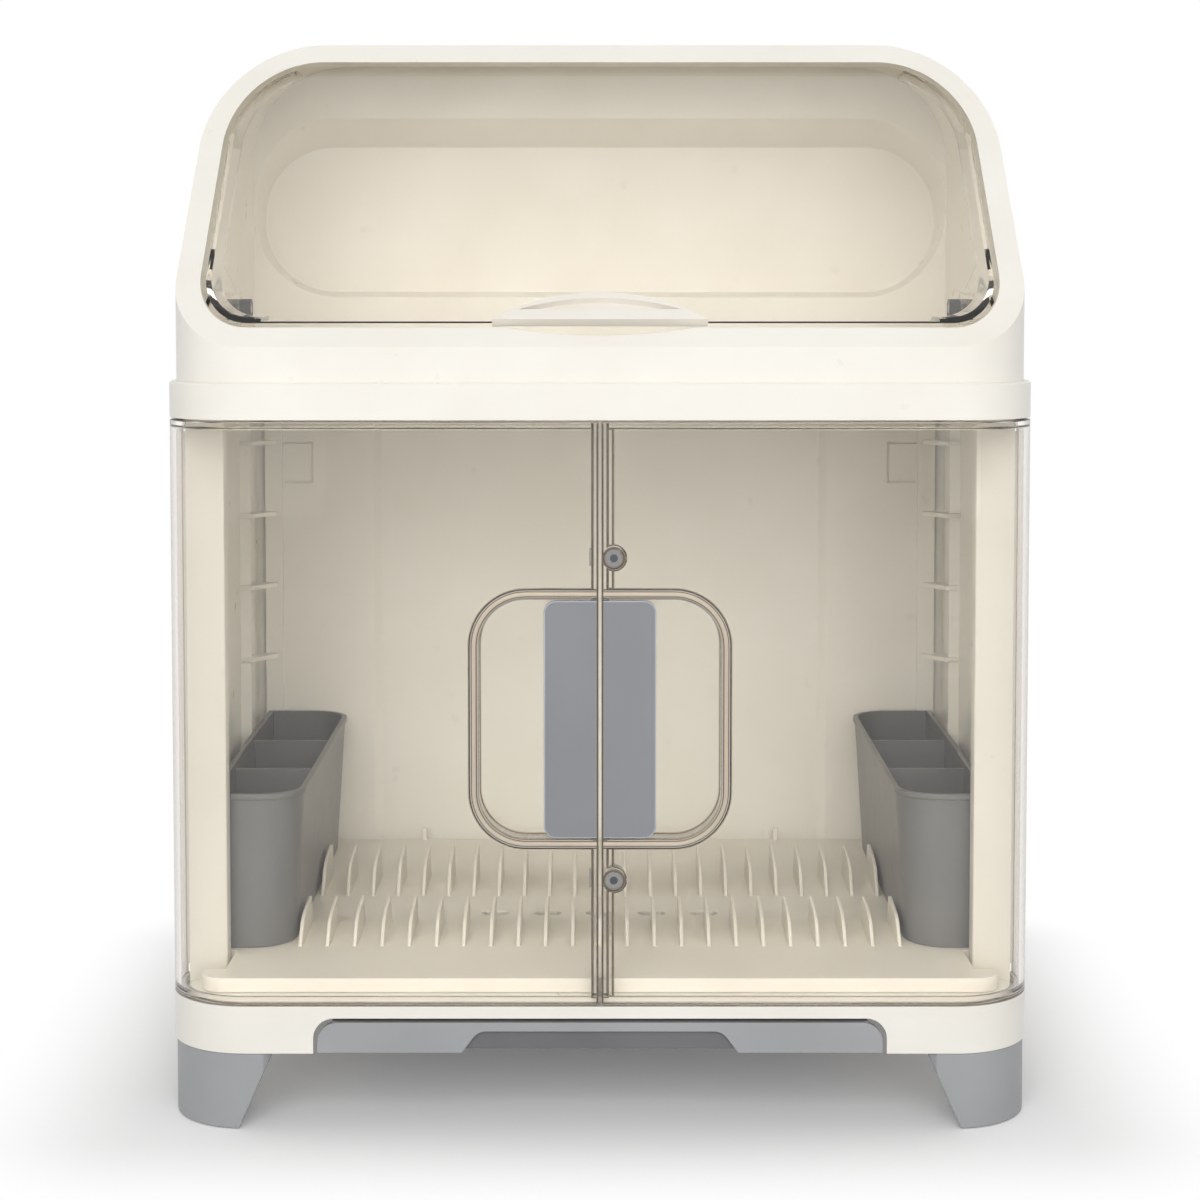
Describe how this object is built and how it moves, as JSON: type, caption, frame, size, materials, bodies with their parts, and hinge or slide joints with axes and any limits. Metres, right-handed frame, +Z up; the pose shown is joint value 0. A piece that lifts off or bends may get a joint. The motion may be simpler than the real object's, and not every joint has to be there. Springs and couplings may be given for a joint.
{
  "type": "covered dish drying rack",
  "caption": "Closed countertop cabinet for drying dishes, with hinged clear front doors, a swing-up clear lid, lift-out trays and cutlery holders, and a drip drawer.",
  "frame": {"origin": "centre of the cabinet's footprint at the floor", "axes": "+Z up, the doors and the drip drawer face -Y, +X to the right of someone facing the front"},
  "size_m": [0.43, 0.335, 0.5475],
  "materials": {
    "cream_shell": "smooth moulded, slight sheen",
    "grey_trim": "smooth moulded, satin",
    "clear_cover": "clear, polished",
    "plated_steel": "plated",
    "dark_clip": "moulded"
  },
  "bodies": {
    "cabinet": {"base_frame": "cream_shell", "foot_front_left": "grey_trim", "foot_front_right": "grey_trim", "foot_rear_left": "grey_trim", "foot_rear_right": "grey_trim", "right_side_panel": "cream_shell", "left_side_panel": "cream_shell", "back_panel": "cream_shell", "top_band": "cream_shell", "hood": "cream_shell", "lid_pivot_pin_left": "plated_steel", "lid_pivot_pin_right": "plated_steel", "lid_pivot_clip_left": "dark_clip", "lid_pivot_clip_right": "dark_clip"},
    "left_door": {"door_left": "clear_cover", "handle_plate_left": "grey_trim", "hinge_pins_left": "plated_steel", "latch_catches": "plated_steel"},
    "right_door": {"door_right": "clear_cover", "handle_plate_right": "grey_trim", "hinge_pins_right": "plated_steel", "latch_magnets": "plated_steel"},
    "lid": {"lid": "clear_cover", "lid_handle": "clear_cover"},
    "drawer": {"drip_drawer": "grey_trim"},
    "lower_tray": {"lower_drain_tray": "cream_shell"},
    "left_holder": {"cutlery_holder_left": "grey_trim"},
    "right_holder": {"cutlery_holder_right": "grey_trim"},
    "upper_tray": {"upper_drain_tray": "cream_shell"}
  },
  "joints": [
    {"name": "left_door_hinge", "type": "hinge", "parent": "cabinet", "child": "left_door", "pos_m": [-0.209, -0.1155, 0.2058], "axis": [0, 0, 1], "range_deg": [-105, 0]},
    {"name": "right_door_hinge", "type": "hinge", "parent": "cabinet", "child": "right_door", "pos_m": [0.209, -0.1155, 0.2058], "axis": [0, 0, 1], "range_deg": [0, 105]},
    {"name": "lid_hinge", "type": "hinge", "parent": "cabinet", "child": "lid", "pos_m": [0, -0.0205, 0.4015], "axis": [-1, 0, 0], "range_deg": [0, 70]},
    {"name": "drawer_slide", "type": "slide", "parent": "cabinet", "child": "drawer", "axis": [0, -1, 0], "range_m": [0, 0.2]},
    {"name": "lower_tray_lift", "type": "slide", "parent": "cabinet", "child": "lower_tray", "axis": [0, 0, 1], "range_m": [0, 0.015]},
    {"name": "left_holder_lift", "type": "slide", "parent": "lower_tray", "child": "left_holder", "axis": [0, 0, 1], "range_m": [0, 0.02]},
    {"name": "right_holder_lift", "type": "slide", "parent": "lower_tray", "child": "right_holder", "axis": [0, 0, 1], "range_m": [0, 0.02]},
    {"name": "upper_tray_lift", "type": "slide", "parent": "cabinet", "child": "upper_tray", "axis": [0, 0, 1], "range_m": [0, 0.012]}
  ]
}
